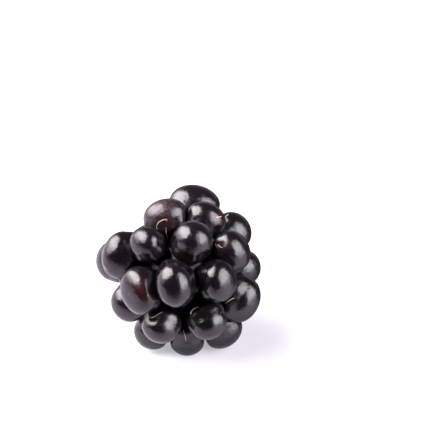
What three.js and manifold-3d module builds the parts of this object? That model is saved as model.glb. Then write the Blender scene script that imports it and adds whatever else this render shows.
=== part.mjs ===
// A ripe bramble berry lying on its side: black drupelets pressed together round a firm core,
// and the pale receptacle in the stem end.
// Millimetres, +Z up. The tip faces -Y and looks up a little; the stem end faces +Y.
import * as THREE from "three";
import { mergeVertices } from "three/addons/utils/BufferGeometryUtils.js";
import Module from "manifold-3d";

// The whole fruit
const tipRise = 24; // degrees the tip looks above level
const crownWide = 8.75; // from the fruit's axis to the middle of a drupelet at the widest ring
const crownTip = 9.4; // from the fruit's middle to the middle of a drupelet at the tip
const crownStem = 10.6; // and at the stem end
const coreWide = 5.6; // half width of the core the drupelets grow from
const coreTip = 6.4; // how far the core reaches towards the tip
const coreStem = 9.0; // and towards the stem end
const coreRoundness = 3; // how finely it is faceted
const restDepth = 0.35; // how much the lowest drupelets are pressed flat by what they lie on

// How drupelets press on each other
const seam = 0.08; // space left between two neighbours
const pressPower = 9; // higher gives flatter contact faces with tighter corners
const baseSpread = 0.25; // how much wider a drupelet is at its base than a plain egg shape
const spreadFrom = -0.1; // it widens from this cosine of the angle to its inward direction
const spreadTo = 0.7; // and has its full width from this one on
const rootDepth = 4.2; // how far a drupelet reaches inwards from its middle, into the core
const reach = 9; // drupelets further apart than this don't touch
const deepest = 0.5; // one further below than this, as a cosine, leaves the root above it whole
const skinSides = 16; // facets round a drupelet
const skinRings = [20, 40, 59, 77, 95, 118]; // rows of corners, in degrees from its outermost point

// The receptacle
const stubRadius = 2.9;
const stubStart = 5.6; // where it begins inside, along the axis from the fruit's middle
const stubEnd = 9.3; // where its outer face stands
const stubDome = 0.35; // how much that face bulges
const stubEdge = 0.45; // how far its edges are rounded
const pitRadius = 0.75; // the pit the stem left in it
const pitFloorRadius = 0.52;
const pitDepth = 0.5;
const stubGap = 0.3; // clearance to its socket all round
const stubSides = 28;
const stubRings = 4;

// The drupelets, ring after ring from the tip to the stem end.
// Each row: degrees from the tip, degrees round the axis from the top towards +X,
// half width round the axis, half length along it, half height, extra distance outwards.
const placed = [
  [3.7, 266, 3.15, 2.55, 2.9, 0.7],

  [50, 317, 2.3, 2.3, 2.25, 0],
  [40, 18, 2.8, 2.75, 2.75, 0],
  [36, 90, 3.0, 2.45, 2.4, 0],
  [57, 148.5, 2.75, 2.3, 2.4, -0.1],
  [57, 202, 2.65, 2.3, 2.3, 0],
  [40, 255, 3.45, 2.5, 2.4, 0],

  [75, 346, 3.2, 2.3, 2.5, 0],
  [77, 24, 2.95, 2.2, 2.5, -0.1],
  [64, 63, 2.95, 2.35, 2.3, 0.25],
  [83, 114, 3.4, 2.4, 2.6, 0.6],
  [98, 146, 3.1, 2.4, 2.8, 1.45],
  [95, 175, 2.75, 2.3, 2.8, 0.7],
  [95, 205, 2.75, 2.3, 2.75, 0.7],
  [87, 239, 2.8, 2.3, 2.6, -0.3],
  [79, 288, 3.35, 2.3, 2.45, 0.4],

  [110, 12, 3.7, 2.5, 2.8, 1.05],
  [103, 53, 2.95, 2.4, 2.8, 0.35],
  [108, 89, 2.7, 2.4, 2.8, 0.1],
  [118, 123, 2.8, 2.4, 2.8, 0],
  [122, 157, 2.9, 2.5, 2.85, 0.2],
  [122, 203, 2.9, 2.5, 2.85, 0.2],
  [118, 238, 2.8, 2.4, 2.8, 0],
  [112, 276, 2.95, 2.5, 2.8, 1.3],

  // some that stayed small, most of them in the hollow of the upper left side
  [89, 310, 2.0, 1.8, 1.8, -2.0],
  [104, 327, 2.1, 1.9, 1.8, -2.0],
  [120, 308, 2.5, 2.2, 2.1, -1.8],
  [80, 264, 1.9, 1.8, 1.8, -1.7],
  [85, 80, 2.1, 2.0, 1.9, -1.6],
  [112, 344, 2.5, 2.3, 2.2, -1.2],
];

// The last ring, round the receptacle: evenly spread with a small seeded shift
const ringCount = 7;
const ringFromTip = 145;
const ringStartTurn = 26;
const ringShift = 3; // degrees either way round the axis
const ringHalf = [2.75, 2.4, 2.7];
const ringSizeChange = 0.05; // share larger or smaller
const ringSeed = 20;

// Surface colours
const skinColour = 0x17111c;
const skinRoughness = 0.22;
const fleshColour = 0xcfc391;
const fleshRoughness = 0.75;

const wasm = await Module();
wasm.setup();

// The fruit's own directions: its axis towards the tip, across that axis upwards, and across to +X.
const rise = THREE.MathUtils.degToRad(tipRise);
const towardsTip = new THREE.Vector3(0, -Math.cos(rise), Math.sin(rise));
const towardsTop = new THREE.Vector3(0, Math.sin(rise), Math.cos(rise));
const towardsSide = new THREE.Vector3(1, 0, 0);

// Distance from the middle to an egg shape's surface, at an angle from the tip.
function eggRadius(angle, wide, tip, stem) {
  const long = angle < Math.PI / 2 ? tip : stem;
  return 1 / Math.hypot(Math.sin(angle) / wide, Math.cos(angle) / long);
}

// Repeatable numbers between -1 and 1.
function seededShifts(seed) {
  const modulus = 2147483647;
  let state = seed;
  return () => {
    state = (state * 16807) % modulus;
    return (2 * state) / modulus - 1;
  };
}

function stemRing() {
  const shift = seededShifts(ringSeed);
  const rows = [];
  for (let i = 0; i < ringCount; i++) {
    const turn = ringStartTurn + (360 * i) / ringCount + ringShift * shift();
    const size = 1 + ringSizeChange * shift();
    rows.push([ringFromTip, turn, ...ringHalf.map((half) => half * size), 0]);
  }
  return rows;
}

// A drupelet's middle, its three directions (round the axis, along it, outwards) and its half sizes.
function drupelet([fromTip, turn, halfWidth, halfLength, halfHeight, out]) {
  const angle = THREE.MathUtils.degToRad(fromTip);
  const around = THREE.MathUtils.degToRad(turn);
  const across = towardsTop.clone().multiplyScalar(Math.cos(around));
  across.addScaledVector(towardsSide, Math.sin(around));
  const outwards = towardsTip.clone().multiplyScalar(Math.cos(angle));
  outwards.addScaledVector(across, Math.sin(angle));
  const along = across.clone().multiplyScalar(Math.cos(angle));
  along.addScaledVector(towardsTip, -Math.sin(angle));
  const round = new THREE.Vector3().crossVectors(along, outwards);
  const distance = eggRadius(angle, crownWide, crownTip, crownStem) + out;
  return {
    middle: outwards.clone().multiplyScalar(distance),
    axes: [round, along, outwards],
    halves: [halfWidth, halfLength, halfHeight],
    root: rootDepth + out,
    size: Math.sqrt(halfWidth * halfLength),
  };
}

// The contact planes of one drupelet: directions to its neighbours and distances to the planes.
// The plane lies nearer the smaller of the two.
function contactPlanes(own, all) {
  const planes = [];
  for (const other of all) {
    const normal = other.middle.clone().sub(own.middle);
    const apart = normal.length();
    if (other === own || apart > reach) continue;
    normal.normalize();
    if (normal.dot(own.axes[2]) < -deepest) continue;
    const lean = (own.size ** 2 - other.size ** 2) / (2 * apart);
    planes.push({ normal, distance: apart / 2 + lean - seam / 2 });
  }
  return planes;
}

// Distance from a drupelet's middle to its skin. The egg shape and the contact planes are blended
// into one smooth convex outline: (sum of (1 / distance) ^ power) ^ (-1 / power).
function skinDistance(own, planes, local, direction) {
  const spread = 1 + baseSpread * THREE.MathUtils.smoothstep(-local.z, spreadFrom, spreadTo);
  const [halfWidth, halfLength, halfHeight] = own.halves;
  const inverse = Math.hypot(
    local.x / (halfWidth * spread),
    local.y / (halfLength * spread),
    local.z / (local.z > 0 ? halfHeight : own.root),
  );
  let total = inverse ** pressPower;
  for (const plane of planes) {
    const towards = direction.dot(plane.normal);
    if (towards > 0) total += (towards / plane.distance) ** pressPower;
  }
  return total ** (-1 / pressPower);
}

// Rows of corners round the outward direction, closed by one corner at each end.
function drupeletGeometry(own, all) {
  const planes = contactPlanes(own, all);
  const angles = [0, ...skinRings, 180].map(THREE.MathUtils.degToRad);
  const profile = angles.map((angle) => new THREE.Vector2(Math.sin(angle), -Math.cos(angle)));
  const geometry = new THREE.LatheGeometry(profile, skinSides);
  const position = geometry.attributes.position;
  const local = new THREE.Vector3();
  const direction = new THREE.Vector3();
  for (let i = 0; i < position.count; i++) {
    local.set(position.getX(i), position.getZ(i), -position.getY(i)).normalize();
    direction.set(0, 0, 0);
    own.axes.forEach((axis, k) => direction.addScaledVector(axis, local.getComponent(k)));
    direction.multiplyScalar(skinDistance(own, planes, local, direction)).add(own.middle);
    position.setXYZ(i, direction.x, direction.y, direction.z);
  }
  return geometry;
}

function coreGeometry() {
  const geometry = new THREE.IcosahedronGeometry(1, coreRoundness);
  const position = geometry.attributes.position;
  const direction = new THREE.Vector3();
  for (let i = 0; i < position.count; i++) {
    direction.fromBufferAttribute(position, i).normalize();
    direction.multiplyScalar(eggRadius(direction.angleTo(towardsTip), coreWide, coreTip, coreStem));
    position.setXYZ(i, direction.x, direction.y, direction.z);
  }
  return geometry;
}

// A solid turned about the fruit's axis, from a profile of (radius, distance from the middle).
function turnedGeometry(profile) {
  const points = profile.map(([radius, distance]) => new THREE.Vector2(radius, distance));
  const geometry = new THREE.LatheGeometry(points, stubSides);
  const towardsStem = towardsTip.clone().negate();
  const upright = new THREE.Vector3(0, 1, 0);
  return geometry.applyQuaternion(new THREE.Quaternion().setFromUnitVectors(upright, towardsStem));
}

// The receptacle: a stub with a softly rounded edge and a shallow pit in its domed face.
function stubProfile() {
  const profile = [
    [0, stubStart],
    [stubRadius - stubEdge, stubStart],
    [stubRadius, stubStart + stubEdge],
    [stubRadius, stubEnd - stubEdge],
  ];
  for (let i = 0; i <= stubRings; i++) {
    const share = i / stubRings;
    const radius = THREE.MathUtils.lerp(stubRadius - stubEdge / 2, pitRadius, share);
    profile.push([radius, stubEnd + stubDome * (1 - (radius / stubRadius) ** 2)]);
  }
  profile.push([pitFloorRadius, stubEnd + stubDome - pitDepth]);
  profile.push([0, stubEnd + stubDome - pitDepth]);
  return profile;
}

function socketProfile() {
  const bottom = stubStart - stubGap;
  const beyond = crownStem * 2;
  return [
    [0, bottom],
    [stubRadius + stubGap, bottom],
    [stubRadius + stubGap, beyond],
    [0, beyond],
  ];
}

function toManifold(geometry) {
  geometry.deleteAttribute("normal");
  geometry.deleteAttribute("uv");
  const merged = mergeVertices(geometry, 1e-4);
  return new wasm.Manifold(
    new wasm.Mesh({
      numProp: 3,
      vertProperties: new Float32Array(merged.attributes.position.array),
      triVerts: new Uint32Array(merged.index.array),
    }),
  );
}

function toMesh(solid, name, colour, roughness) {
  const data = solid.getMesh();
  const geometry = new THREE.BufferGeometry();
  geometry.setAttribute("position", new THREE.BufferAttribute(new Float32Array(data.vertProperties), 3));
  geometry.setIndex(new THREE.BufferAttribute(new Uint32Array(data.triVerts), 1));
  geometry.computeVertexNormals();
  const material = new THREE.MeshStandardMaterial({ color: colour, roughness, metalness: 0 });
  const mesh = new THREE.Mesh(geometry, material);
  mesh.name = name;
  return mesh;
}

// Everything lower than a level, as one block.
function blockBelow(level) {
  const side = 4 * crownStem;
  return toManifold(new THREE.BoxGeometry(side, side, side).translate(0, 0, level - side / 2));
}

const drupelets = [...placed, ...stemRing()].map(drupelet);
let fruit = toManifold(coreGeometry());
for (const own of drupelets) fruit = fruit.add(toManifold(drupeletGeometry(own, drupelets)));
fruit = fruit.subtract(toManifold(turnedGeometry(socketProfile())));

// The lowest drupelets end in small flats on the level z = 0, under the middle of the outline.
const floor = fruit.boundingBox().min[2] + restDepth;
fruit = fruit.subtract(blockBelow(floor));
const box = fruit.boundingBox();
const toOrigin = [-(box.min[0] + box.max[0]) / 2, -(box.min[1] + box.max[1]) / 2, -floor];

const stub = toManifold(turnedGeometry(stubProfile()));
const berry = new THREE.Group();
berry.name = "bramble_berry";
berry.add(toMesh(fruit.translate(toOrigin), "drupelets", skinColour, skinRoughness));
berry.add(toMesh(stub.translate(toOrigin), "receptacle", fleshColour, fleshRoughness));

export default berry;
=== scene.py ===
import math

import bpy
import numpy as np
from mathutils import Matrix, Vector


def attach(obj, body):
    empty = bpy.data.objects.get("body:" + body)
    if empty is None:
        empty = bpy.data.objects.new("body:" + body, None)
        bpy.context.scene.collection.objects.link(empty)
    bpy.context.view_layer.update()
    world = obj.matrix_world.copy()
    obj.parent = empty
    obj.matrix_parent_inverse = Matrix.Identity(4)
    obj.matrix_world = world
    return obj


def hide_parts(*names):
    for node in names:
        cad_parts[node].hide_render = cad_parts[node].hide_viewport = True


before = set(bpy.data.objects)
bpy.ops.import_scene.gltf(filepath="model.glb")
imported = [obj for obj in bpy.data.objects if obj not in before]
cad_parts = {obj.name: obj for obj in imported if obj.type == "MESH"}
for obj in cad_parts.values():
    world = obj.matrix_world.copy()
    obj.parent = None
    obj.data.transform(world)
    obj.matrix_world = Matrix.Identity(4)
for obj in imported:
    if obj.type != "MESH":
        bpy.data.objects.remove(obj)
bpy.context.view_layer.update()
millimetre = 0.001

# The whole fruit, in millimetres and degrees, as the solids have it.
fruit = {
    "middle": (0.4648, -0.0344, 11.2928),  # its middle in the part's frame
    "tipRise": 24,  # how far the tip looks above level
    "front": (0.0, -0.848, 0.530),  # from its middle forwards and 32 degrees up
    "overFront": (0.0, 0.530, 0.848),  # square to that, upwards
    "crownWide": 8.75,  # from the fruit's middle to those of the drupelets: at the widest ring,
    "crownTip": 9.4,  # at the tip
    "crownStem": 10.6,  # and at the stem end
    "coreWide": 5.6,  # the core that the drupelets grow from, in the same three ways
    "coreTip": 6.4,
    "coreStem": 9.0,
    "socketRadius": 3.2,  # the socket for the receptacle, in the stem end
    "socketWallFrom": 8.0,  # where its wall begins, along the axis from the fruit's middle
    "socketStart": 5.3,  # and where its bottom lies
    "coreSides": 72,
    "coreRows": 40,
}
middle = np.array(fruit["middle"])
rise = math.radians(fruit["tipRise"])
towardsTip = np.array([0.0, -math.cos(rise), math.sin(rise)])
towardsTop = np.array([0.0, math.sin(rise), math.cos(rise)])
towardsSide = np.array([1.0, 0.0, 0.0])
fruitFront = np.array(fruit["front"])
fruitUp = np.array(fruit["overFront"])

# The drupelets, ring after ring, in millimetres: degrees from the tip, degrees round the axis from
# the top towards +X, half width round the axis, half length along it, half height, extra distance
# outwards.
skins = {
    "placed": [
        [3.7, 266, 3.15, 2.55, 2.9, 0.7],
        [50, 317, 2.3, 2.3, 2.25, 0],
        [40, 18, 2.8, 2.75, 2.75, 0],
        [36, 90, 3.0, 2.45, 2.4, 0],
        [57, 148.5, 2.75, 2.3, 2.4, -0.1],
        [57, 202, 2.65, 2.3, 2.3, 0],
        [40, 255, 3.45, 2.5, 2.4, 0],
        [75, 346, 3.2, 2.3, 2.5, 0],
        [77, 24, 2.95, 2.2, 2.5, -0.1],
        [64, 63, 2.95, 2.35, 2.3, 0.25],
        [83, 114, 3.4, 2.4, 2.6, 0.6],
        [98, 146, 3.1, 2.4, 2.8, 1.45],
        [95, 175, 2.75, 2.3, 2.8, 0.7],
        [95, 205, 2.75, 2.3, 2.75, 0.7],
        [87, 239, 2.8, 2.3, 2.6, -0.3],
        [79, 288, 3.35, 2.3, 2.45, 0.4],
        [110, 12, 3.7, 2.5, 2.8, 1.05],
        [103, 53, 2.95, 2.4, 2.8, 0.35],
        [108, 89, 2.7, 2.4, 2.8, 0.1],
        [118, 123, 2.8, 2.4, 2.8, 0],
        [122, 157, 2.9, 2.5, 2.85, 0.2],
        [122, 203, 2.9, 2.5, 2.85, 0.2],
        [118, 238, 2.8, 2.4, 2.8, 0],
        [112, 276, 2.95, 2.5, 2.8, 1.3],
        [89, 310, 2.0, 1.8, 1.8, -2.0],
        [104, 327, 2.1, 1.9, 1.8, -2.0],
        [120, 308, 2.5, 2.2, 2.1, -1.8],
        [80, 264, 1.9, 1.8, 1.8, -1.7],
        [85, 80, 2.1, 2.0, 1.9, -1.6],
        [112, 344, 2.5, 2.3, 2.2, -1.2],
    ],
    "ringCount": 7,  # the last ring, round the receptacle
    "ringFromTip": 145,
    "ringStartTurn": 26,
    "ringShift": 3,  # degrees either way
    "ringHalf": [2.75, 2.4, 2.7],
    "ringSizeChange": 0.05,
    "ringSeed": 20,
    "seam": 0.08,  # space between two neighbours
    "pressPower": 9,  # higher gives flatter contact faces
    "baseSpread": 0.25,  # how much wider a drupelet is at its root
    "spreadFrom": -0.1,  # it widens from this cosine of the angle to its inward direction
    "spreadTo": 0.7,  # and has its full width from this one on
    "rootDepth": 4.2,  # how far a drupelet reaches inwards from its middle
    "reach": 9,  # drupelets further apart than this don't touch
    "deepest": 0.5,  # one further below than this, as a cosine, leaves the root above it whole
    "flatness": {0: 2.45},  # drupelets with flatter domes: the power of their egg, 2 for the others
    # Drupelets whose domes lean: sideways and up, as a share of their size.
    "lean": {1: (0.18, 0), 3: (-0.18, 0), 6: (0.36, 0), 9: (-0.12, 0)},
    "sides": 60,  # facets round one drupelet
    "domeRows": 28,  # rows from its outermost point to just past its widest
    "domeEnd": 112,  # degrees
    "hiddenRows": [125, 140, 160],
    "rootShadeFrom": 0.1,  # its root gets the painted crease shade between these two, as the same cosine
    "rootShadeTo": 0.6,
    "toneSeed": 7,
}

# Where the skin isn't black: drupelet, degrees from its outermost point, turn, reach in mm and
# strength. Blush is dark red, haze is a brownish bloom that dulls the gloss, and scars are dry
# brown spots where a style stood.
marks = {
    "blush": [
        (6, 58, 284, 1.5, 1.0),
        (6, 74, 250, 1.0, 0.75),
        (6, 40, 300, 0.8, 0.6),
        (7, 86, 268, 0.9, 0.9),
        (14, 54, 262, 1.0, 0.35),
        (9, 96, 233, 0.8, 0.7),
        (8, 51, 332, 0.8, 0.9),
        (2, 108, 250, 0.9, 0.35),
        (15, 64, 215, 0.9, 0.3),
        (23, 60, 80, 1.2, 0.6),
        (19, 40, 200, 1.3, 0.8),
    ],
    "haze": [
        (7, 30, 240, 2.6, 1.0),
        (1, 120, 0, 0.8, 0.5),
        (9, 80, 235, 0.8, 0.5),
        (21, 30, 90, 1.8, 0.6),
    ],
    "scar": [
        (15, 63, 203, 0.26, 0.95),
        (15, 72, 204, 0.16, 0.5),
        (8, 50, 327, 0.2, 0.5),
        (14, 52, 251, 0.2, 0.35),
        (9, 96, 234, 0.28, 0.6),
        (7, 82, 272, 0.3, 0.7),
    ],
}


# 0 below low, 1 above high, and 3 s^2 - 2 s^3 between them, s being the share of the way.
def smoothStep(value, low, high):
    share = np.clip((value - low) / (high - low), 0, 1)
    return share * share * (3 - 2 * share)


# Distance from the middle to an egg shape: 1 / hypot(sin / half width, cos / half length),
# with one half length towards the tip and another towards the stem.
def eggRadius(angle, wide, tip, stem):
    long = np.where(angle < math.pi / 2, tip, stem)
    return 1 / np.hypot(np.sin(angle) / wide, np.cos(angle) / long)


# Repeatable numbers between -1 and 1: each state is the one before times 16807, less whole
# multiples of 2^31 - 1.
def seededShifts(seed):
    multiplier = 16807
    modulus = 2147483647
    state = seed
    while True:
        state = (state * multiplier) % modulus
        yield 2 * state / modulus - 1


# The rows of the last ring: evenly spread turns, each with a small seeded shift and change of size.
def stemRing():
    shift = seededShifts(skins["ringSeed"])
    rows = []
    for i in range(skins["ringCount"]):
        turn = skins["ringStartTurn"] + 360 * i / skins["ringCount"]
        turn += skins["ringShift"] * next(shift)
        size = 1 + skins["ringSizeChange"] * next(shift)
        rows.append([skins["ringFromTip"], turn, *(half * size for half in skins["ringHalf"]), 0])
    return rows


# One drupelet. Its middle lies at (egg radius + out) * (tip * cos a + across * sin a), a being its
# angle from the tip. Its axes run round the fruit, along it and outwards.
def layDrupelet(index, row):
    fromTip, turn, halfWidth, halfLength, halfHeight, out = row
    angle, around = math.radians(fromTip), math.radians(turn)
    across = towardsTop * math.cos(around) + towardsSide * math.sin(around)
    outwards = towardsTip * math.cos(angle) + across * math.sin(angle)
    along = across * math.cos(angle) - towardsTip * math.sin(angle)
    crown = float(eggRadius(angle, fruit["crownWide"], fruit["crownTip"], fruit["crownStem"]))
    return {
        "middle": outwards * (crown + out),
        "axes": np.array([np.cross(along, outwards), along, outwards]),
        "halves": (halfWidth, halfLength, halfHeight),
        "root": skins["rootDepth"] + out,
        "size": math.sqrt(halfWidth * halfLength),
        "flatness": skins["flatness"].get(index, 2),
        "lean": skins["lean"].get(index, (0, 0)),
    }


drupelets = [layDrupelet(*item) for item in enumerate(skins["placed"] + stemRing())]
print(f"{len(drupelets)} drupelets laid out")


# 1 / distance to a drupelet's own egg, before its neighbours press it. With f for its flatness that
# is (hypot(x / width, y / length) ^ f + |z / height| ^ f) ^ (1 / f), divided by
# 1 + (direction . lean) * (direction . front) where it leans. Its sides spread towards the root.
def ownEgg(own, local, direction):
    wider = smoothStep(-local[..., 2], skins["spreadFrom"], skins["spreadTo"])
    spread = 1 + skins["baseSpread"] * wider
    halfWidth, halfLength, halfHeight = own["halves"]
    depth = np.where(local[..., 2] > 0, halfHeight, own["root"])
    level = np.hypot(local[..., 0] / (halfWidth * spread), local[..., 1] / (halfLength * spread))
    flat = own["flatness"]
    egg = (level ** flat + np.abs(local[..., 2] / depth) ** flat) ** (1 / flat)
    sideways, up = own["lean"]
    leaning = direction @ (sideways * towardsSide + up * fruitUp)
    return egg / (1 + leaning * (direction @ fruitFront))


# Distance from a drupelet's middle to its skin, for a grid of local unit directions:
# (egg ^ p + sum over neighbours of (direction . normal / plane distance) ^ p) ^ (-1 / p).
# Also gives the crease: the neighbours' share of that sum, 0 on a free dome and 1 in a seam.
# The skin's painted crease shade follows it.
def skinDistance(own, local):
    power = skins["pressPower"]
    direction = local @ own["axes"]
    free = ownEgg(own, local, direction) ** power
    total = free.copy()
    for other in drupelets:
        between = other["middle"] - own["middle"]
        apart = np.linalg.norm(between)
        if other is own or apart > skins["reach"]:
            continue
        if between @ own["axes"][2] < -skins["deepest"] * apart:
            continue
        towardsSmaller = (own["size"] ** 2 - other["size"] ** 2) / (2 * apart)
        plane = apart / 2 + towardsSmaller - skins["seam"] / 2
        total += (np.maximum(direction @ (between / apart), 0) / plane) ** power
    return total ** (-1 / power), 1 - free / total


# Local unit directions on a grid: (sin a cos t, sin a sin t, cos a), with a from the outermost
# point and t round it.
def localGrid(angles, sides):
    a = np.radians(np.asarray(angles, float))[:, None]
    t = np.linspace(0, 2 * math.pi, sides, endpoint=False)[None, :]
    return np.stack([np.sin(a) * np.cos(t), np.sin(a) * np.sin(t), np.cos(a) + 0 * t], axis=-1)


# Faces of a grid of rings that are closed round, with one point before the first ring and one
# after the last. Points are numbered: first point, the rings row by row, last point.
def ringFaces(rows, sides, start):
    j = np.arange(sides)
    after = (j + 1) % sides
    first = start + 1
    last = start + 1 + rows * sides
    i = np.arange(rows - 1)[:, None] * sides + first
    quads = np.stack([i + j, i + sides + j, i + sides + after, i + after], axis=-1).reshape(-1, 4)
    lastRing = first + (rows - 1) * sides
    top = np.stack([np.full(sides, start), first + j, first + after], axis=-1)
    bottom = np.stack([np.full(sides, last), lastRing + after, lastRing + j], axis=-1)
    return quads, np.concatenate([top, bottom])


# Puts points (millimetres, round the fruit's middle) and faces into a mesh in the part's frame,
# in metres.
def makePiece(name, points, quads, triangles, replaced=()):
    place = (points + middle) * millimetre
    place[:, 2] = np.maximum(place[:, 2], 0)
    mesh = bpy.data.meshes.new(name)
    mesh.from_pydata(place.tolist(), [], quads.tolist() + triangles.tolist())
    mesh.polygons.foreach_set("use_smooth", np.ones(len(mesh.polygons), bool))
    mesh.update()
    piece = bpy.data.objects.new(name, mesh)
    bpy.context.scene.collection.objects.link(piece)
    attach(piece, "root")
    if replaced:
        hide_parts(*replaced)
    print(f"{name}: {len(quads) * 2 + len(triangles)} triangles")
    return piece


# One number for each point, for the materials to read.
def addValues(piece, name, values):
    attribute = piece.data.attributes.new(name, "FLOAT", "POINT")
    attribute.data.foreach_set("value", np.ascontiguousarray(values, np.float32).ravel())


# The core: a profile turned about the axis. It follows the egg shape to the socket's edge, then
# goes down the socket's wall and across its bottom.
def coreRings():
    rows = fruit["coreRows"]
    edge = math.pi - math.asin(fruit["socketRadius"] / fruit["coreStem"])
    angle = np.linspace(0, edge, rows + 1)[1:]
    distance = eggRadius(angle, fruit["coreWide"], fruit["coreTip"], fruit["coreStem"])
    radius = np.append(distance * np.sin(angle), [fruit["socketRadius"]] * 2)
    along = np.append(distance * np.cos(angle), [-fruit["socketWallFrom"], -fruit["socketStart"]])
    turn = np.linspace(0, 2 * math.pi, fruit["coreSides"], endpoint=False)
    across = np.cos(turn)[:, None] * towardsTop + np.sin(turn)[:, None] * towardsSide
    rings = radius[:, None, None] * across + along[:, None, None] * towardsTip
    return rings, towardsTip * fruit["coreTip"], -towardsTip * fruit["socketStart"]


# A place on a drupelet, in its own directions: its skin at the degrees from its outermost point
# and the turn round that, raised by some millimetres.
def skinPlace(own, degrees, turn, raised=0.0):
    a, t = math.radians(degrees), math.radians(turn)
    direction = np.array([[math.sin(a) * math.cos(t), math.sin(a) * math.sin(t), math.cos(a)]])
    distance, _ = skinDistance(own, direction)
    return direction[0] * (distance[0] + raised)


# How strongly a mark shows at each point of a drupelet: strength * exp(-(distance / reach) ^ 2),
# the strongest of its marks.
def markShare(kind, index, own, places):
    share = np.zeros(len(places))
    for which, degrees, turn, reach, strength in marks[kind]:
        if which == index:
            away = np.linalg.norm(places - skinPlace(own, degrees, turn), axis=1)
            share = np.maximum(share, strength * np.exp(-(away / reach) ** 2))
    return share


# All skins and the core in one mesh: point = the drupelet's middle + distance * direction.
def buildSkins():
    angles = list(np.linspace(0, skins["domeEnd"], skins["domeRows"] + 1)[1:]) + skins["hiddenRows"]
    outermost, innermost = [0.0, 0.0, 1.0], [0.0, 0.0, -1.0]
    grid = localGrid(angles, skins["sides"]).reshape(-1, 3)
    local = np.concatenate([[outermost], grid, [innermost]])
    points, quads, triangles, creaseShades, tones = [], [], [], [], []
    masks = {kind: [] for kind in marks}
    start = 0
    random = np.random.default_rng(skins["toneSeed"])
    for index, own in enumerate(drupelets):
        distance, creaseShade = skinDistance(own, local)
        for kind in marks:
            masks[kind].append(markShare(kind, index, own, local * distance[:, None]))
        points.append(own["middle"] + distance[:, None] * (local @ own["axes"]))
        # Painted shade: the root side of each drupelet turns dark like a crease.
        rootShade = smoothStep(-local[:, 2], skins["rootShadeFrom"], skins["rootShadeTo"])
        creaseShades.append(np.maximum(creaseShade, rootShade))
        tones.append(np.full(len(local), random.random()))
        bands, caps = ringFaces(len(angles), skins["sides"], start)
        quads.append(bands)
        triangles.append(caps)
        start += len(local)
    rings, first, last = coreRings()
    corePoints = np.concatenate([first[None], rings.reshape(-1, 3), last[None]])
    bands, caps = ringFaces(len(rings), fruit["coreSides"], start)
    points.append(corePoints)
    quads.append(bands)
    triangles.append(caps)
    # The core between the drupelets gets the painted crease shade all over.
    creaseShades.append(np.ones(len(corePoints)))
    tones.append(np.zeros(len(corePoints)))
    for kind in marks:
        masks[kind].append(np.zeros(len(corePoints)))
    piece = makePiece("drupelet_skins", np.concatenate(points), np.concatenate(quads),
                      np.concatenate(triangles), ["drupelets"])
    addValues(piece, "creaseShade", np.concatenate(creaseShades))
    addValues(piece, "tone", np.concatenate(tones))
    for kind in marks:
        addValues(piece, kind, np.concatenate(masks[kind]))
    return piece


skinPiece = buildSkins()

# The dried styles: drupelet, thickness in mm, paleness, then the places it passes, each with its
# degrees from the drupelet's outermost point, its turn and its height over the skin in mm. A style
# is rooted at its first place.
styles = {
    "sides": 7,  # facets round a style
    "steps": 22,  # rings along it
    "endShare": 0.35,  # thickness at the free end, as a share of that at the root
    "tipShare": 0.6,  # the last ring's share of that
    "placed": [
        (7, 0.14, 0.35, [(80, 275, -0.05), (77, 266, 0.16), (78, 256, 0.3), (82, 247, 0.32),
                         (90, 240, 0.26), (99, 236, 0.2), (107, 237, 0.1)]),
        (7, 0.09, 0.0, [(104, 264, -0.05), (112, 263, 0.2), (121, 261, 0.24), (131, 263, 0.2)]),
        (8, 0.13, 0.85, [(51, 311, -0.04), (50, 319, 0.05), (49, 328, 0.07), (49, 337, 0.03)]),
        (17, 0.09, 0.7, [(68, 202, -0.04), (75, 210, 0.16), (84, 215, 0.3), (95, 221, 0.28),
                         (105, 224, 0.2)]),
        (9, 0.2, 1.0, [(101, 229, -0.05), (98, 232, 0.12), (94, 238, 0.16), (90, 241, 0.06)]),
        (9, 0.09, 0.3, [(108, 222, -0.04), (104, 226, 0.2), (102, 233, 0.34), (97, 240, 0.4)]),
        (15, 0.08, 0.4, [(50, 199, -0.03), (57, 202, 0.04), (64, 207, 0.05), (73, 200, 0.01)]),
        (10, 0.09, 0.95, [(109, 266, -0.03), (113, 272, 0.12), (117, 281, 0.16), (121, 291, 0.1)]),
        (5, 0.09, 1.0, [(90, 317, -0.03), (92, 308, 0.07), (97, 299, 0.08), (105, 291, 0.12),
                        (112, 282, 0.1)]),
        (4, 0.08, 1.0, [(118, 301, -0.03), (121, 293, 0.1), (122, 283, 0.12), (121, 268, 0.08)]),
        (12, 0.1, 0.6, [(92, 275, -0.04), (101, 274, 0.1), (111, 275, 0.2), (122, 277, 0.35)]),
    ],
    "seed": 31,  # the rest are laid by seeded draws
    "share": 0.65,  # how many of the other drupelets have kept theirs
    "rootDegrees": (48, 78),
    "rootTurn": (245, 295),  # 270 points to the tip of the fruit
    "rootHeight": -0.04,
    "bare": {0, 1, 2, 3, 6, 11, 13, 14, 16, 18, 23},  # drupelets that have lost theirs
    "thickness": (0.08, 0.13),
    "stepDegrees": (7, 13),
    "wander": 14,  # degrees of turn either way at each step
    "lift": (0.08, 0.34),
    "places": 5,
}


# Rows like the placed ones, for drupelets that have none: each place is a drawn step from the last.
def drawnStyles():
    random = np.random.default_rng(styles["seed"])
    taken = {row[0] for row in styles["placed"]} | styles["bare"]
    rows = []
    for index in range(len(drupelets)):
        kept = random.random() < styles["share"]
        thickness, paleness = random.uniform(*styles["thickness"]), random.random()
        degrees = random.uniform(*styles["rootDegrees"])
        turn = random.uniform(*styles["rootTurn"])
        steps = random.uniform(*styles["stepDegrees"], styles["places"])
        turns = random.uniform(-styles["wander"], styles["wander"], styles["places"])
        lifts = random.uniform(*styles["lift"], styles["places"])
        if not kept or index in taken:
            continue
        path = [(degrees, turn, styles["rootHeight"])]
        for step, wander, lift in zip(steps, turns, lifts):
            path.append((path[-1][0] + step, path[-1][1] + wander, lift))
        rows.append((index, thickness, paleness, path))
    return rows


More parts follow.
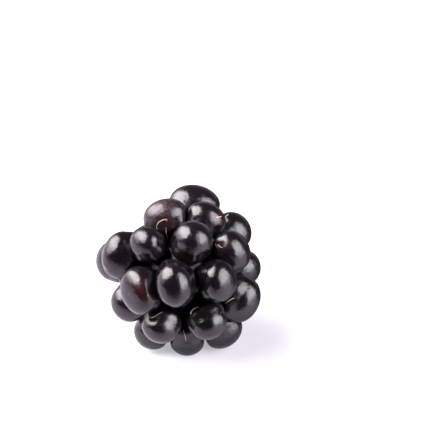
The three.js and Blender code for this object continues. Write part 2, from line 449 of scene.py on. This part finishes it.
# A smooth line through some places: between b and c, with a before and d after them, it is Catmull
# and Rom's cubic, half of 2b + (c - a) t + (2a - 5b + 4c - d) t^2 + (3b - a - 3c + d) t^3.
def smoothLine(places, steps):
    places = np.asarray(places)
    ends = np.concatenate([2 * places[:1] - places[1:2], places, 2 * places[-1:] - places[-2:-1]])
    at = np.linspace(0, len(places) - 1, steps)
    first = np.minimum(at.astype(int), len(places) - 2)
    t = (at - first)[:, None]
    a, b, c, d = (ends[first + k] for k in range(4))
    square = (2 * a - 5 * b + 4 * c - d) * t ** 2
    cube = (3 * b - a - 3 * c + d) * t ** 3
    return 0.5 * (2 * b + (c - a) * t + square + cube)


# A round tube along a line: point = line + radius * (cos t * side + sin t * over), with the two
# directions square to the line.
def tubeRings(line, radius, sides):
    tangent = np.gradient(line, axis=0)
    tangent /= np.linalg.norm(tangent, axis=1)[:, None]
    askew = [0.3, 0.2, 0.9]  # keeps the two directions apart where the line is straight
    side = np.cross(tangent, np.cross(tangent.mean(0), tangent[0] + askew))
    side /= np.linalg.norm(side, axis=1)[:, None]
    over = np.cross(tangent, side)
    turn = np.linspace(0, 2 * math.pi, sides, endpoint=False)[None, :, None]
    circle = np.cos(turn) * side[:, None] + np.sin(turn) * over[:, None]
    return line[:, None] + radius[:, None, None] * circle


# Every style as a closed tube that thins in a straight line from its root to its free end.
def buildStyles():
    along = np.linspace(0, 1, styles["steps"])
    points, quads, triangles, dryness, pale = [], [], [], [], []
    start = 0
    for index, thickness, paleness, path in styles["placed"] + drawnStyles():
        own = drupelets[index]
        places = [own["middle"] + skinPlace(own, *place) @ own["axes"] for place in path]
        line = smoothLine(places, styles["steps"])
        radius = thickness / 2 * (1 + (styles["endShare"] - 1) * along)
        radius[-1] *= styles["tipShare"]
        rings = tubeRings(line, radius, styles["sides"])
        points += [line[:1], rings.reshape(-1, 3), line[-1:]]
        bands, caps = ringFaces(len(rings), styles["sides"], start)
        quads.append(bands)
        triangles.append(caps)
        dryness += [along[:1], np.repeat(along, styles["sides"]), along[-1:]]
        count = styles["steps"] * styles["sides"] + 2
        pale.append(np.full(count, paleness))
        start += count
    piece = makePiece("dried_styles", np.concatenate(points), np.concatenate(quads),
                      np.concatenate(triangles))
    addValues(piece, "dryness", np.concatenate(dryness))
    addValues(piece, "paleness", np.concatenate(pale))
    return piece


stylePiece = buildStyles()

# The pale receptacle that fills the stem end: a stub turned about the fruit's axis, in millimetres,
# with a pit where the stem was. Its face is uneven where the fibres tore.
flesh = {
    "radius": 2.9,
    "start": 5.6,  # along the axis from the fruit's middle
    "end": 9.3,
    "dome": 0.35,
    "edge": 0.45,  # radius of its rounded edges
    "pitRadius": 0.75,
    "pitFloor": 0.52,  # radius of its flat bottom
    "pitDepth": 0.5,
    "innerRadii": (0.4, 0.08),  # of the first ring of its inner end and the last of the pit
    "sides": 160,  # facets round it, and then the rings of each part of its outline
    "endRows": 4,
    "edgeRows": 9,
    "wallRows": 8,
    "faceRows": 40,
    "pitRows": 6,
    "tear": 0.09,  # how deep the unevenness is
    "tearFrom": 0.05,  # shares of the radius between which it sets in
    "tearTo": 0.5,
    "furrow": 0.02,  # how far the side is drawn in between fibres, as a share of the radius
    "fibres": (7, 13, 22, 31, 45),  # waves round the face, and how strong each is
    "fibreShares": (0.30, 0.25, 0.20, 0.15, 0.10),
    "spiral": 2.2,  # how many radians the waves turn from the edge to the pit
    "spiralKinds": 5,  # the waves turn by none to four times that
    "waveStart": 6.28,  # each starts at a draw of up to this many radians
    "seed": 5,
}


# The stub's outline from the middle of its inner end to the middle of the pit, as radius and place
# along the axis. The face is end + dome * (1 - (radius / stub radius) ^ 2), the rounded edges are
# quarter circles, and the pit's wall is an S curve.
def fleshOutline():
    edge, radius, start, end = flesh["edge"], flesh["radius"], flesh["start"], flesh["end"]
    corner = radius - edge
    innerStart, innerPit = flesh["innerRadii"]
    back = np.linspace(innerStart, corner, flesh["endRows"] + 1)[:-1]
    quarter = np.linspace(0, math.pi / 2, flesh["edgeRows"])
    wall = np.linspace(start + edge, end - edge, flesh["wallRows"] + 2)[1:-1]
    shoulder = end + flesh["dome"] * (1 - (corner / radius) ** 2)
    across = np.linspace(corner, flesh["pitRadius"], flesh["faceRows"])[1:]
    face = end + flesh["dome"] * (1 - (across / radius) ** 2)
    down = smoothStep(np.linspace(0, 1, flesh["edgeRows"]), 0, 1)[1:]
    narrower = (flesh["pitFloor"] - flesh["pitRadius"]) * down
    floor = end + flesh["dome"] - flesh["pitDepth"]
    bottom = np.linspace(flesh["pitFloor"], innerPit, flesh["pitRows"] + 1)[1:]
    parts = [
        (back, np.full(len(back), start)),
        (corner + edge * np.sin(quarter), start + edge * (1 - np.cos(quarter))),
        (np.full(len(wall), radius), wall),
        (corner + edge * np.cos(quarter), end - edge + (shoulder - end + edge) * np.sin(quarter)),
        (across, face),
        (flesh["pitRadius"] + narrower, face[-1] + (floor - face[-1]) * down),
        (bottom, np.full(len(bottom), floor)),
    ]
    radii, places = zip(*parts)
    return np.concatenate(radii), np.concatenate(places), floor


# The outline turned about the axis. Fibres lower the face by tear * (1 + wave) / 2, the wave being
# the sum of share * cos(count * turn + spiral + shift), and draw the side in by furrow likewise.
def buildFlesh():
    radius, along, floor = fleshOutline()
    random = np.random.default_rng(flesh["seed"])
    turn = np.linspace(0, 2 * math.pi, flesh["sides"], endpoint=False)[None, :]
    share = (radius / flesh["radius"])[:, None]
    wave = 0
    for count, strength in zip(flesh["fibres"], flesh["fibreShares"]):
        spiral = count % flesh["spiralKinds"] * flesh["spiral"] * share
        shift = random.uniform(0, flesh["waveStart"])
        wave = wave + strength * np.cos(count * turn + spiral + shift)
    raised = 0.5 + 0.5 * wave
    faceFrom = flesh["end"] - flesh["edge"]
    outer = smoothStep(along, faceFrom, flesh["end"])[:, None]
    lowered = flesh["tear"] * outer * smoothStep(share, flesh["tearFrom"], flesh["tearTo"]) * raised
    narrowed = 1 - flesh["furrow"] * (1 - outer) * raised
    across = np.cos(turn)[..., None] * towardsTop + np.sin(turn)[..., None] * towardsSide
    depth = (along[:, None] - lowered)[..., None]
    rings = (radius[:, None] * narrowed)[..., None] * across - depth * towardsTip
    points = np.concatenate([[-towardsTip * flesh["start"]], rings.reshape(-1, 3),
                             [-towardsTip * floor]])
    quads, triangles = ringFaces(len(radius), flesh["sides"], 0)
    piece = makePiece("receptacle_flesh", points, quads, triangles, ["receptacle"])
    outside = np.repeat(np.where(along > faceFrom, share[:, 0], 1.0), flesh["sides"])
    addValues(piece, "outside", np.concatenate([[1.0], outside, [0.0]]))
    addValues(piece, "torn", np.concatenate([[0.5], raised.ravel(), [0.5]]))
    return piece


fleshPiece = buildFlesh()


# The value is either another node's socket, which is linked, or a plain number or colour.
def setInput(tree, socket, value):
    if isinstance(value, bpy.types.NodeSocket):
        tree.links.new(value, socket)
    else:
        socket.default_value = value


def addNode(tree, kind, inputs=None, **settings):
    made = tree.nodes.new(kind)
    for name, value in settings.items():
        setattr(made, name, value)
    for name, value in (inputs or {}).items():
        setInput(tree, made.inputs[name], value)
    return made


def newGroup(name, inputs, outputs):
    tree = bpy.data.node_groups.new(name, "ShaderNodeTree")
    for label, kind in inputs:
        tree.interface.new_socket(label, in_out="INPUT", socket_type=kind)
    for label, kind in outputs:
        tree.interface.new_socket(label, in_out="OUTPUT", socket_type=kind)
    return tree, tree.nodes.new("NodeGroupInput"), tree.nodes.new("NodeGroupOutput")


def useGroup(tree, group, inputs):
    return addNode(tree, "ShaderNodeGroup", inputs, node_tree=group).outputs


def newMaterial(name):
    material = bpy.data.materials.new(name)
    material.use_nodes = True
    tree = material.node_tree
    return material, tree, tree.nodes["Principled BSDF"]


def readPlace(tree):
    return addNode(tree, "ShaderNodeTexCoord").outputs["Object"]


def readValue(tree, name):
    return addNode(tree, "ShaderNodeAttribute", attribute_name=name).outputs["Fac"]


def calculate(tree, operation, *values):
    inputs = dict(enumerate(values))
    return addNode(tree, "ShaderNodeMath", inputs, operation=operation).outputs["Value"]


def multiply(tree, first, second):
    return calculate(tree, "MULTIPLY", first, second)


def dotProduct(tree, place, direction):
    return addNode(tree, "ShaderNodeVectorMath", {
        0: place, 1: direction}, operation="DOT_PRODUCT").outputs["Value"]


def noise(tree, place, scale, detail, roughness):
    return addNode(tree, "ShaderNodeTexNoise", {
        "Vector": place, "Scale": scale, "Detail": detail, "Roughness": roughness}).outputs["Fac"]


# Goes from first, where the value is low, to last, where it is high, in an S curve or straight.
def mapRange(tree, value, low, high, first=0.0, last=1.0, curve="SMOOTHSTEP"):
    return addNode(tree, "ShaderNodeMapRange", {
        "Value": value, "From Min": low, "From Max": high, "To Min": first, "To Max": last},
        interpolation_type=curve).outputs["Result"]


def mixValues(tree, factor, first, second):
    inputs = {"Factor": factor, "A": first, "B": second}
    return addNode(tree, "ShaderNodeMix", inputs, data_type="FLOAT").outputs["Result"]


# The colour sockets of a Mix node share their names with the others, so they go by number.
def mixColours(tree, factor, first, second):
    inputs = {0: factor, 6: first, 7: second}
    return addNode(tree, "ShaderNodeMix", inputs, data_type="RGBA").outputs[2]


def bump(tree, height, distance, strength, beneath=None):
    inputs = {"Height": height, "Distance": distance, "Strength": strength}
    if beneath:
        inputs["Normal"] = beneath
    return addNode(tree, "ShaderNodeBump", inputs).outputs["Normal"]


# The grain that all three materials share.
grainLook = {
    "fineDetail": 2.0,
    "fineRoughness": 0.6,
    "lumpDetail": 1.5,
    "lumpRoughness": 0.5,
    "mottleFrom": 0.35,
    "mottleTo": 0.65,
}


# Fine grain on broad lumps. Height is for bump: fine * (1 - share) + lumps * share. Mottle goes
# from 0 to 1 in soft patches, where the lumps go from mottleFrom to mottleTo.
def grainGroup():
    tree, given, result = newGroup(
        "naturalGrain",
        [("Vector", "NodeSocketVector"), ("Grain Scale", "NodeSocketFloat"),
         ("Lump Scale", "NodeSocketFloat"), ("Lump Share", "NodeSocketFloat")],
        [("Height", "NodeSocketFloat"), ("Mottle", "NodeSocketFloat")],
    )
    place, grainScale, lumpScale, lumpShare = (
        given.outputs[name] for name in ("Vector", "Grain Scale", "Lump Scale", "Lump Share"))
    fine = noise(tree, place, grainScale, grainLook["fineDetail"], grainLook["fineRoughness"])
    lumps = noise(tree, place, lumpScale, grainLook["lumpDetail"], grainLook["lumpRoughness"])
    mottle = mapRange(tree, lumps, grainLook["mottleFrom"], grainLook["mottleTo"])
    tree.links.new(mixValues(tree, lumpShare, fine, lumps), result.inputs["Height"])
    tree.links.new(mottle, result.inputs["Mottle"])
    return tree


# Small specks of dust: round spots in some cells of a cell pattern.
def speckGroup():
    tree, given, result = newGroup(
        "dustSpecks",
        [("Vector", "NodeSocketVector"), ("Cell Scale", "NodeSocketFloat"),
         ("Spot Size", "NodeSocketFloat"), ("Empty Share", "NodeSocketFloat")],
        [("Mask", "NodeSocketFloat")],
    )
    cells = addNode(tree, "ShaderNodeTexVoronoi", {
        "Vector": given.outputs["Vector"], "Scale": given.outputs["Cell Scale"]}).outputs
    drawn = addNode(tree, "ShaderNodeSeparateColor", {"Color": cells["Color"]}).outputs["Red"]
    spot = calculate(tree, "LESS_THAN", cells["Distance"], given.outputs["Spot Size"])
    filled = calculate(tree, "GREATER_THAN", drawn, given.outputs["Empty Share"])
    tree.links.new(multiply(tree, spot, filled), result.inputs["Mask"])
    return tree


naturalGrain = grainGroup()
dustSpecks = speckGroup()

# Colours are linear red, green, blue and alpha. Scales are for each metre, distances in metres.
skinLook = {
    "blackBlue": (0.0016, 0.0013, 0.0024, 1),
    "purple": (0.0040, 0.0020, 0.0040, 1),
    # The crease colour, with the metallic below, is painted shade in the creases and on the core.
    "creaseShade": (0.0090, 0.0080, 0.0094, 1),
    "dust": (0.20, 0.15, 0.10, 1),
    "blush": (0.020, 0.0026, 0.0044, 1),  # dark red, where the skin is thin
    "haze": (0.030, 0.017, 0.022, 1),  # brownish bloom
    "scar": (0.34, 0.15, 0.055, 1),
    "roughness": 0.15,
    "roughnessChange": 0.06,
    "hazeRoughness": 0.4,
    "blushRoughness": 0.2,
    "scarRoughness": 0.6,
    "creaseRoughness": 0.2,
    "patchWeakest": 0.55,  # share of haze and blush in the weakest patches of the mottle
    "raggedHeights": (0.4, 0.6),  # the grain's heights between which it eats into a scar's edge,
    "raggedWeakest": 0.5,  # down to this share
    "scarEdge": (0.3, 0.5),  # the scar's strengths between which its colour sets in
    "darkCrease": (0.5, 0.92),  # painted shade: a crease turns metallic here, so that it mirrors next to nothing,
    "darkCreaseShare": 0.9,  # up to this share
    "grainScale": 5200.0,
    "lumpScale": 2200.0,
    "lumpShare": 0.6,
    "bumpDistance": 0.00005,
    "dentScale": 900.0,
    "dentDetail": 1.0,
    "dentRoughness": 0.5,
    "dentDistance": 0.00006,
    "bumpStrength": 1.0,
    "speckScale": 800.0,
    "speckSize": 0.05,  # as a share of its cell
    "speckEmpty": 0.7,  # share of the cells without one
}


def skinMaterial():
    material, tree, shader = newMaterial("blackGlossySkin")
    place = readPlace(tree)
    grain = useGroup(tree, naturalGrain, {
        "Vector": place, "Grain Scale": skinLook["grainScale"],
        "Lump Scale": skinLook["lumpScale"], "Lump Share": skinLook["lumpShare"]})
    specks = useGroup(tree, dustSpecks, {
        "Vector": place, "Cell Scale": skinLook["speckScale"],
        "Spot Size": skinLook["speckSize"], "Empty Share": skinLook["speckEmpty"]})
    creaseShade = readValue(tree, "creaseShade")
    patches = mapRange(tree, grain["Mottle"], 0.0, 1.0, skinLook["patchWeakest"], 1.0, "LINEAR")
    hazy = multiply(tree, readValue(tree, "haze"), patches)
    blush = readValue(tree, "blush")
    eaten = mapRange(tree, grain["Height"], *skinLook["raggedHeights"],
                     skinLook["raggedWeakest"], 1.0, "LINEAR")
    scar = mapRange(tree, multiply(tree, readValue(tree, "scar"), eaten), *skinLook["scarEdge"])

    colour = mixColours(tree, readValue(tree, "tone"), skinLook["blackBlue"], skinLook["purple"])
    colour = mixColours(tree, hazy, colour, skinLook["haze"])
    colour = mixColours(tree, multiply(tree, blush, patches), colour, skinLook["blush"])
    # Painted shade: creases, roots and the core take the crease colour.
    colour = mixColours(tree, creaseShade, colour, skinLook["creaseShade"])
    colour = mixColours(tree, scar, colour, skinLook["scar"])
    colour = mixColours(tree, specks["Mask"], colour, skinLook["dust"])
    tree.links.new(colour, shader.inputs["Base Color"])

    # Painted shade: there the skin turns metallic on a near-black colour, so it mirrors next to
    # nothing.
    hollowShade = mapRange(tree, creaseShade, *skinLook["darkCrease"], 0.0, skinLook["darkCreaseShare"])
    tree.links.new(hollowShade, shader.inputs["Metallic"])

    roughest = skinLook["roughness"] + skinLook["roughnessChange"]
    rough = mapRange(tree, grain["Mottle"], 0.0, 1.0, skinLook["roughness"], roughest, "LINEAR")
    rough = mixValues(tree, hazy, rough, skinLook["hazeRoughness"])
    rough = mixValues(tree, blush, rough, skinLook["blushRoughness"])
    rough = mixValues(tree, scar, rough, skinLook["scarRoughness"])
    rough = mixValues(tree, creaseShade, rough, skinLook["creaseRoughness"])
    tree.links.new(rough, shader.inputs["Roughness"])

    broad = noise(tree, place, skinLook["dentScale"], skinLook["dentDetail"],
                  skinLook["dentRoughness"])
    dents = bump(tree, broad, skinLook["dentDistance"], skinLook["bumpStrength"])
    fine = bump(tree, grain["Height"], skinLook["bumpDistance"], skinLook["bumpStrength"], dents)
    tree.links.new(fine, shader.inputs["Normal"])
    return material


styleLook = {
    "root": (0.14, 0.035, 0.020, 1),
    "middle": (0.44, 0.22, 0.15, 1),
    "end": (0.46, 0.29, 0.19, 1),
    "straw": (0.47, 0.44, 0.38, 1),  # the palest ones
    "middleAt": 0.3,  # share of the length from the root
    "darkShare": 0.5,  # how much of the root's colour the mottle brings in
    "roughness": 0.5,
    "roughnessChange": 0.15,
    "grainScale": 9000.0,
    "lumpScale": 2500.0,
    "lumpShare": 0.5,
    "bumpDistance": 0.00002,
    "bumpStrength": 0.6,
}


# Grain, roughness and relief as the dried styles and the flesh have them.
def dryFinish(tree, shader, look):
    grain = useGroup(tree, naturalGrain, {
        "Vector": readPlace(tree), "Grain Scale": look["grainScale"],
        "Lump Scale": look["lumpScale"], "Lump Share": look["lumpShare"]})
    roughest = look["roughness"] + look["roughnessChange"]
    rough = mapRange(tree, grain["Mottle"], 0.0, 1.0, look["roughness"], roughest, "LINEAR")
    tree.links.new(rough, shader.inputs["Roughness"])
    normal = bump(tree, grain["Height"], look["bumpDistance"], look["bumpStrength"])
    tree.links.new(normal, shader.inputs["Normal"])
    return grain


def styleMaterial():
    material, tree, shader = newMaterial("driedStyle")
    grain = dryFinish(tree, shader, styleLook)
    ramp = addNode(tree, "ShaderNodeValToRGB", {"Fac": readValue(tree, "dryness")})
    stops = ramp.color_ramp.elements
    stops[0].color = styleLook["root"]
    stops[1].color = styleLook["end"]
    stops.new(styleLook["middleAt"]).color = styleLook["middle"]
    dark = multiply(tree, grain["Mottle"], styleLook["darkShare"])
    colour = mixColours(tree, dark, ramp.outputs["Color"], styleLook["root"])
    colour = mixColours(tree, readValue(tree, "paleness"), colour, styleLook["straw"])
    tree.links.new(colour, shader.inputs["Base Color"])
    return material


fleshLook = {
    "pit": (0.16, 0.10, 0.035, 1),
    "middle": (0.50, 0.42, 0.22, 1),
    "ring": (0.66, 0.62, 0.36, 1),
    "outer": (0.42, 0.45, 0.17, 1),
    "stain": (0.10, 0.012, 0.030, 1),  # juice at the edge
    "pitTo": 0.12,  # the share of the radius that the pit's colour reaches to
    "stops": {"middle": 0.28, "ring": 0.5, "outer": 0.86},
    "uneven": 0.3,  # how far the grain shifts these rings,
    "unevenMean": 0.15,  # and half of that
    "furrowShade": 0.35,
    "mottleShare": 0.3,
    "roughness": 0.5,
    "roughnessChange": 0.2,
    "grainScale": 3600.0,
    "lumpScale": 1300.0,
    "lumpShare": 0.4,
    "bumpDistance": 0.00006,
    "bumpStrength": 1.0,
}


def fleshMaterial():
    material, tree, shader = newMaterial("paleFlesh")
    grain = dryFinish(tree, shader, fleshLook)
    uneven = calculate(tree, "MULTIPLY_ADD", grain["Height"], fleshLook["uneven"],
                       readValue(tree, "outside"))
    ring = calculate(tree, "SUBTRACT", uneven, fleshLook["unevenMean"])
    ramp = addNode(tree, "ShaderNodeValToRGB", {"Fac": ring})
    stops = ramp.color_ramp.elements
    stops[0].color = fleshLook["pit"]
    stops[0].position = fleshLook["pitTo"]
    stops[1].color = fleshLook["stain"]
    for name, at in fleshLook["stops"].items():
        stops.new(at).color = fleshLook[name]
    torn = readValue(tree, "torn")
    shade = mapRange(tree, torn, 0.0, 1.0, fleshLook["furrowShade"], 0.0, "LINEAR")
    colour = mixColours(tree, shade, ramp.outputs["Color"], fleshLook["pit"])
    mottle = multiply(tree, grain["Mottle"], fleshLook["mottleShare"])
    colour = mixColours(tree, mottle, colour, fleshLook["outer"])
    tree.links.new(colour, shader.inputs["Base Color"])
    return material


skinPiece.data.materials.append(skinMaterial())
stylePiece.data.materials.append(styleMaterial())
fleshPiece.data.materials.append(fleshMaterial())
print("materials made")

# The table and the room. The berry's skin mirrors other colours of the table than the camera sees.
setting = {
    "floorSide": 6.0,  # metres
    "floorRoughness": 0.7,
    "floorColour": (0.32, 0.315, 0.333, 1),
    "floorGlow": (0.98, 0.955, 1.02, 1),  # lifts the shadow, like light from under a white table
    "reflectedColour": (0.425, 0.385, 0.45, 1),  # the same two, as the skin mirrors them
    "reflectedGlow": (0.75, 0.67, 0.82, 1),
    "farGlow": (2.4, 2.4, 2.4, 1),  # far from the berry the table turns white
    "farFrom": 0.1,  # metres from the berry
    "farTo": 0.45,
    "floorGlowStrength": 0.42,
    "room": (0.06, 0.057, 0.062, 1),
    "farWall": (0.9, 0.86, 0.91, 1),
    "wallFrom": 0.35,  # the far wall sets in here, as the direction's share straight back,
    "wallTo": 0.9,  # and is full here
    "wallLow": 0.05,  # it gets darker between these two, as the direction's share upwards,
    "wallHigh": 0.4,
    "wallTopLevel": 0.15,  # down to this
}

# Painted shade in the table as seen in reflections: wedges with their point under the berry.
# Azimuth from the camera's side, narrowness, the distances in metres between which it gets dark,
# how dark.
reflectedShadeWedges = [
    (-3, 0.98, -0.006, 0.07, 0.03),
    (150, 0.5, -0.014, 0.012, 0.03),
]


# A large square. Its lightness in reflections is a product over the wedges: a step from 1 down to
# how dark it gets, along the depth ahead - narrowness * |aside|.
def buildFloor():
    half = setting["floorSide"] / 2
    mesh = bpy.data.meshes.new("floor")
    corners = [(-half, -half, 0), (half, -half, 0), (half, half, 0), (-half, half, 0)]
    mesh.from_pydata(corners, [], [(0, 1, 2, 3)])
    floor = bpy.data.objects.new("floor", mesh)
    bpy.context.scene.collection.objects.link(floor)
    material, tree, shader = newMaterial("whiteTable")
    place = readPlace(tree)
    lightness = 1.0
    for azimuth, narrow, start, end, level in reflectedShadeWedges:
        aim = math.radians(azimuth)
        ahead = dotProduct(tree, place, (math.sin(aim), -math.cos(aim), 0))
        aside = dotProduct(tree, place, (math.cos(aim), math.sin(aim), 0))
        depth = calculate(tree, "MULTIPLY_ADD", calculate(tree, "ABSOLUTE", aside), -narrow, ahead)
        lightness = multiply(tree, lightness, mapRange(tree, depth, start, end, 1.0, level))
    away = addNode(tree, "ShaderNodeVectorMath", {0: place}, operation="LENGTH").outputs["Value"]
    far = mapRange(tree, away, setting["farFrom"], setting["farTo"])
    glow = mixColours(tree, far, setting["floorGlow"], setting["farGlow"])
    straight = addNode(tree, "ShaderNodeLightPath").outputs["Is Camera Ray"]
    for seen, mirrored, socket in (
            (setting["floorColour"], setting["reflectedColour"], "Base Color"),
            (glow, setting["reflectedGlow"], "Emission Color")):
        reflected = mixColours(tree, lightness, (0, 0, 0, 1), mirrored)
        tree.links.new(mixColours(tree, straight, reflected, seen), shader.inputs[socket])
    shader.inputs["Roughness"].default_value = setting["floorRoughness"]
    shader.inputs["Emission Strength"].default_value = setting["floorGlowStrength"]
    mesh.materials.append(material)


# White for the camera. For everything else it is a dark room whose far wall is lighter.
def buildWorld():
    world = bpy.data.worlds.new("studio")
    bpy.context.scene.world = world
    world.use_nodes = True
    tree = world.node_tree
    tree.nodes.clear()
    direction = addNode(tree, "ShaderNodeSeparateXYZ", {
        "Vector": addNode(tree, "ShaderNodeTexCoord").outputs["Generated"]}).outputs
    behind = mapRange(tree, direction["Y"], setting["wallFrom"], setting["wallTo"])
    low = mapRange(tree, direction["Z"], setting["wallLow"], setting["wallHigh"],
                   1.0, setting["wallTopLevel"])
    room = mixColours(tree, multiply(tree, behind, low), setting["room"], setting["farWall"])
    straight = addNode(tree, "ShaderNodeLightPath").outputs["Is Camera Ray"]
    background = addNode(tree, "ShaderNodeBackground", {
        "Color": mixColours(tree, straight, room, (1, 1, 1, 1)), "Strength": 1.0})
    output = addNode(tree, "ShaderNodeOutputWorld")
    tree.links.new(background.outputs["Background"], output.inputs["Surface"])


# Upright soft lights. Their azimuth in degrees is measured from the camera's side, to the right;
# start and end are the azimuths that they reach as seen from the berry, and distance, bottom and
# top are in metres. A light fades in from its end nearest the camera between the two shares of its
# width that nearFade gives, and further out by lean at its foot, up to the share leanTo of its
# height. It fades out over the share farFade at its other end, gets weaker over the share foot of
# its height down to footLevel, and over the share dimTop up to topLevel.
softboxes = {
    "leftBox": {
        "facing": -88,
        "distance": 0.30,
        "start": -32,
        "end": -150,
        "bottom": 0.015,
        "top": 1.15,
        "radiance": 13.0,
        "colour": (1.0, 0.94, 0.97),
        "nearFade": (0.06, 0.16),
        "lean": 0.32,
        "leanTo": 0.38,
        "farFade": 0.42,
        "foot": 0.23,
        "footLevel": 0.1,
        "dimTop": 0.45,
        "topLevel": 0.5,
    },
    "rightBox": {
        "facing": 68,
        "distance": 0.36,
        "start": 12,
        "end": 100,
        "bottom": 0.0,
        "top": 0.7,
        "radiance": 8.6,
        "colour": (1.0, 0.95, 1.03),
        "nearFade": (0.25, 0.5),
        "lean": 0.0,
        "leanTo": 1.0,
        "farFade": 0.22,
        "foot": 0.2,
        "footLevel": 0.4,
        "dimTop": 0.5,
        "topLevel": 0.3,
    },
}


# An upright light that faces the berry. It reaches distance * tan(azimuth - facing) to either side,
# and its power is set from how bright its face looks.
def addSoftbox(name, box):
    wattsForRadiance = 4  # for each square metre of an area light
    facing = math.radians(box["facing"])
    nearEnd = box["distance"] * math.tan(math.radians(box["start"]) - facing)
    farEnd = box["distance"] * math.tan(math.radians(box["end"]) - facing)
    light = bpy.data.lights.new(name, "AREA")
    light.shape = "RECTANGLE"
    light.size = abs(farEnd - nearEnd)
    light.size_y = box["top"] - box["bottom"]
    light.energy = wattsForRadiance * light.size * light.size_y * box["radiance"]
    light.color = box["colour"]
    towards = Vector((math.sin(facing), -math.cos(facing), 0))
    aside = Vector((math.cos(facing), math.sin(facing), 0))
    upwards = Vector((0, 0, (box["top"] + box["bottom"]) / 2))
    holder = bpy.data.objects.new(name, light)
    holder.location = towards * box["distance"] + aside * (nearEnd + farEnd) / 2 + upwards
    holder.rotation_euler = (-towards).to_track_quat("-Z", "Y").to_euler()
    bpy.context.scene.collection.objects.link(holder)

    light.use_nodes = True
    tree = light.node_tree
    face = addNode(tree, "ShaderNodeSeparateXYZ", {
        "Vector": addNode(tree, "ShaderNodeNewGeometry").outputs["Parametric"]}).outputs
    height = face["Y"]
    share = face["X"]  # runs from the light's right end to its left end, as the berry sees it
    if box["end"] < 0:
        share = calculate(tree, "SUBTRACT", 1.0, share)
    shift = mapRange(tree, height, 0.0, box["leanTo"], box["lean"], 0.0, "LINEAR")
    leaning = calculate(tree, "SUBTRACT", share, shift)
    level = 1.0
    for value, start, end, first, last in (
            (leaning, *box["nearFade"], 0.0, 1.0),
            (share, 1 - box["farFade"], 1.0, 1.0, 0.0),
            (height, 0.0, box["foot"], box["footLevel"], 1.0),
            (height, 1 - box["dimTop"], 1.0, 1.0, box["topLevel"])):
        level = multiply(tree, level, mapRange(tree, value, start, end, first, last))
    tree.links.new(level, tree.nodes["Emission"].inputs["Strength"])


buildFloor()
buildWorld()
for name, box in softboxes.items():
    addSoftbox(name, box)
print("floor, world and lights made")

# Millimetres and degrees.
camera = {
    "elevation": 32,
    "distance": 320,
    "lens": 182.7,
    "sensor": 36,
    "clipStart": 10,
    "aside": 5.99,  # the view's middle lies this far to the right of the fruit's middle
    "above": 6.84,  # and this far above it
}


# The camera looks at the middle of the view from distance * (0, -cos elevation, sin elevation).
def buildCamera():
    tilt = math.radians(camera["elevation"])
    back = np.array([0, -math.cos(tilt), math.sin(tilt)])
    up = np.array([0, math.sin(tilt), math.cos(tilt)])
    right = np.array([1.0, 0, 0])
    data = bpy.data.cameras.new("camera")
    data.lens = camera["lens"]
    data.sensor_width = camera["sensor"]
    data.clip_start = camera["clipStart"] * millimetre
    holder = bpy.data.objects.new("camera", data)
    place = middle + camera["distance"] * back + camera["aside"] * right + camera["above"] * up
    holder.location = Vector(place * millimetre)
    holder.rotation_euler = (math.pi / 2 - tilt, 0, 0)
    bpy.context.scene.collection.objects.link(holder)
    bpy.context.scene.camera = holder


buildCamera()
bpy.context.scene.view_settings.view_transform = "Standard"
print("camera made")
